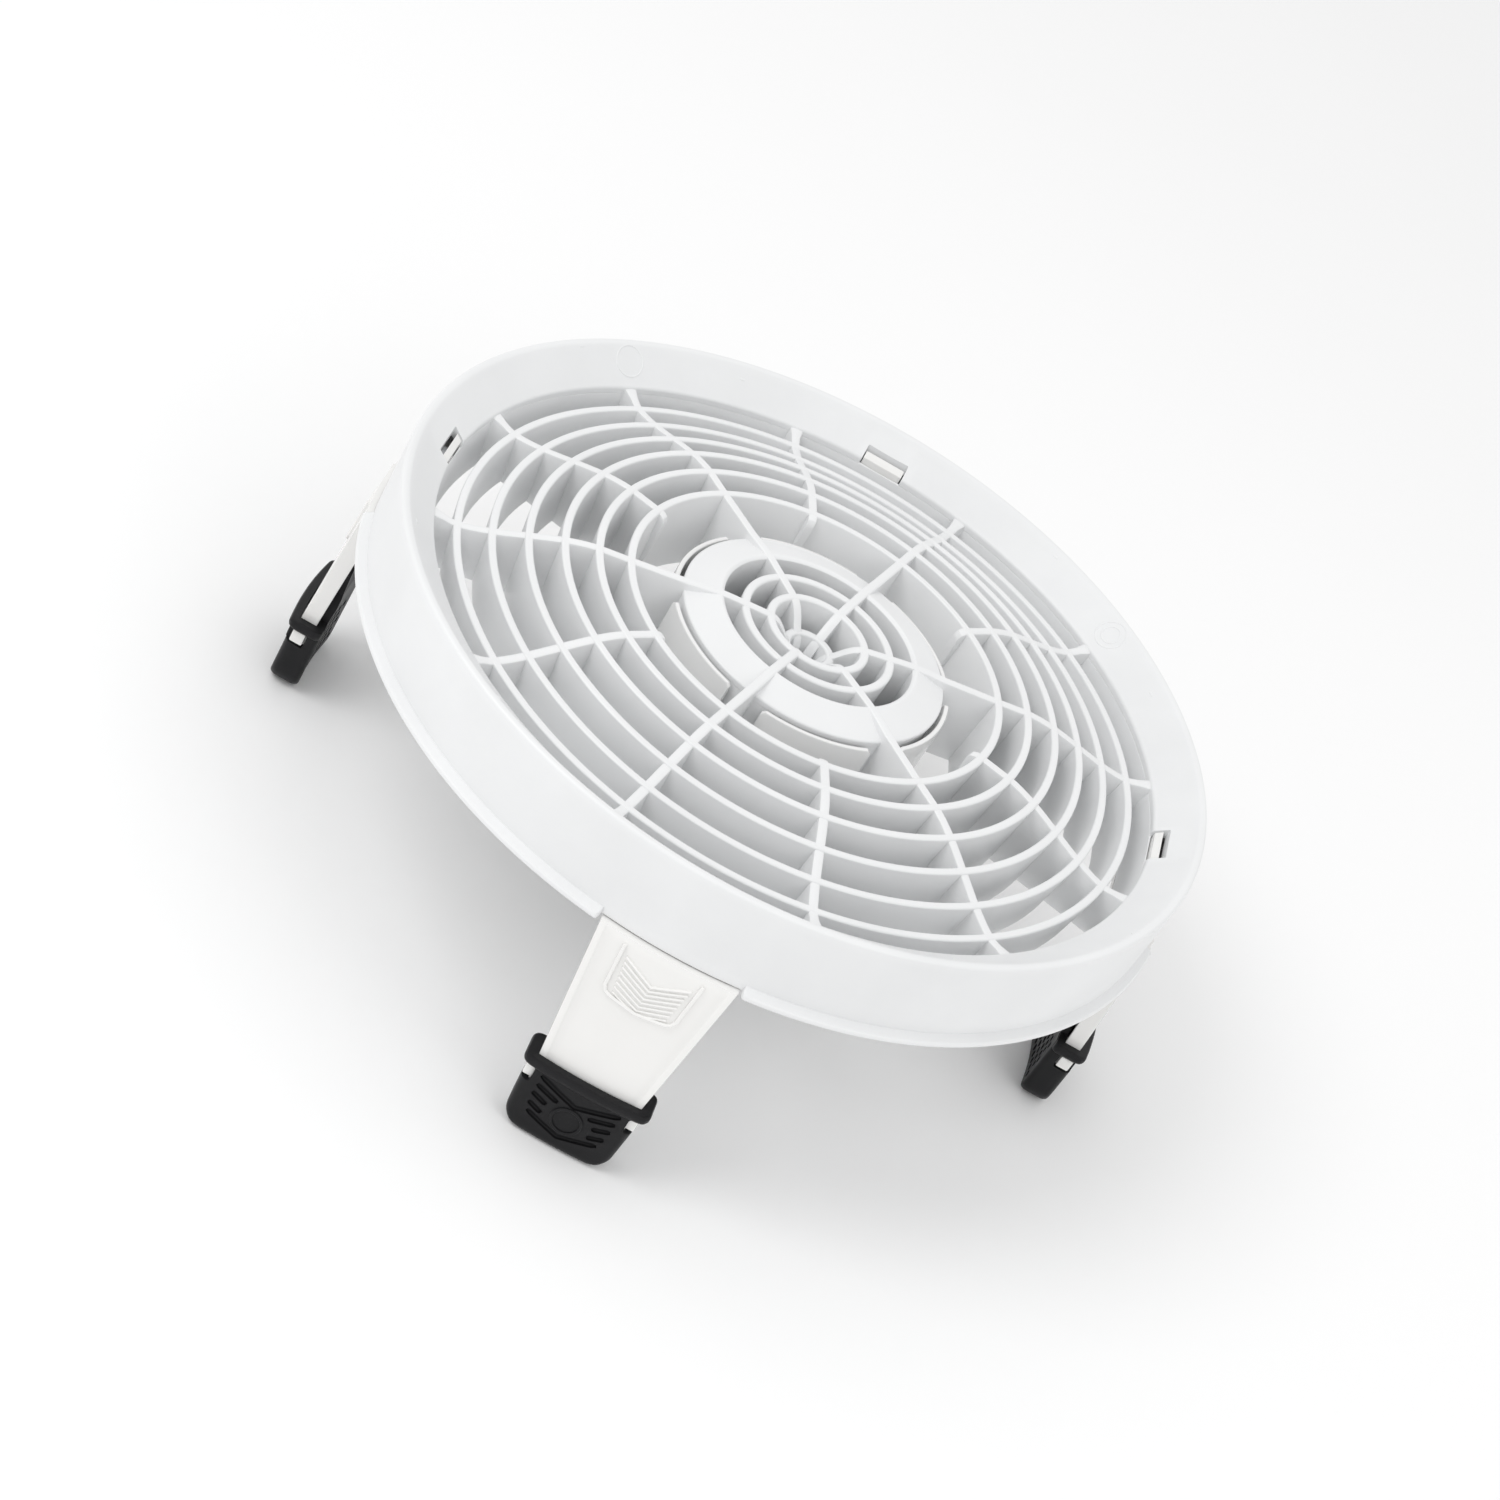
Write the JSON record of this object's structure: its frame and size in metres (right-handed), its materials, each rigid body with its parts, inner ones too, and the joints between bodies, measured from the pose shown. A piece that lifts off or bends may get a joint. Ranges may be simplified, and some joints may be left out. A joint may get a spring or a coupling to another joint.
{
  "type": "ceiling air diffuser",
  "caption": "Round ceiling air diffuser: dished rim, domed ring-louvre grille with a hub, and sprung legs with rubber boots that grip the opening.",
  "frame": {"origin": "Centre of the footprint, on the plane of the boots' soles, straight below the hub.", "axes": "+Z runs out of the louvred face along its axis. -Y points at the front leg and +X at the right leg; the legs stand 90 degrees apart."},
  "size_m": [0.276, 0.276, 0.1025],
  "materials": {
    "white_plastic": "satin white moulded plastic",
    "warm_plastic": "glossy warm white moulded plastic",
    "rubber": "semi-matte black rubber",
    "steel": "bright zinc-plated steel",
    "spring_steel": "blued spring steel"
  },
  "bodies": {
    "diffuser": {"rim": "white_plastic", "louvre_grille": "white_plastic", "hub_cup": "warm_plastic", "hub_screw": "steel", "pin_front": "steel", "pin_right": "steel", "pin_back": "steel", "pin_left": "steel", "spring_front": "spring_steel", "spring_right": "spring_steel", "spring_back": "spring_steel", "spring_left": "spring_steel"},
    "leg_front": {"leg_front": "warm_plastic", "boot_front": "rubber"},
    "leg_right": {"leg_right": "warm_plastic", "boot_right": "rubber"},
    "leg_back": {"leg_back": "warm_plastic", "boot_back": "rubber"},
    "leg_left": {"leg_left": "warm_plastic", "boot_left": "rubber"}
  },
  "joints": [
    {"name": "leg_front_swing", "type": "hinge", "parent": "diffuser", "child": "leg_front", "pos_m": [0, -0.12161, 0.0855], "axis": [1, 0, 0], "range_deg": [0, 8], "stiffness_Nm_per_rad": 0.35, "springref_deg": -5.73, "deforming": ["spring_front"]},
    {"name": "leg_right_swing", "type": "hinge", "parent": "diffuser", "child": "leg_right", "pos_m": [0.12161, 0, 0.0855], "axis": [0, 1, 0], "range_deg": [0, 8], "stiffness_Nm_per_rad": 0.35, "springref_deg": -5.73, "deforming": ["spring_right"]},
    {"name": "leg_back_swing", "type": "hinge", "parent": "diffuser", "child": "leg_back", "pos_m": [0, 0.12161, 0.0855], "axis": [-1, 0, 0], "range_deg": [0, 8], "stiffness_Nm_per_rad": 0.35, "springref_deg": -5.73, "deforming": ["spring_back"]},
    {"name": "leg_left_swing", "type": "hinge", "parent": "diffuser", "child": "leg_left", "pos_m": [-0.12161, 0, 0.0855], "axis": [0, -1, 0], "range_deg": [0, 8], "stiffness_Nm_per_rad": 0.35, "springref_deg": -5.73, "deforming": ["spring_left"]}
  ]
}
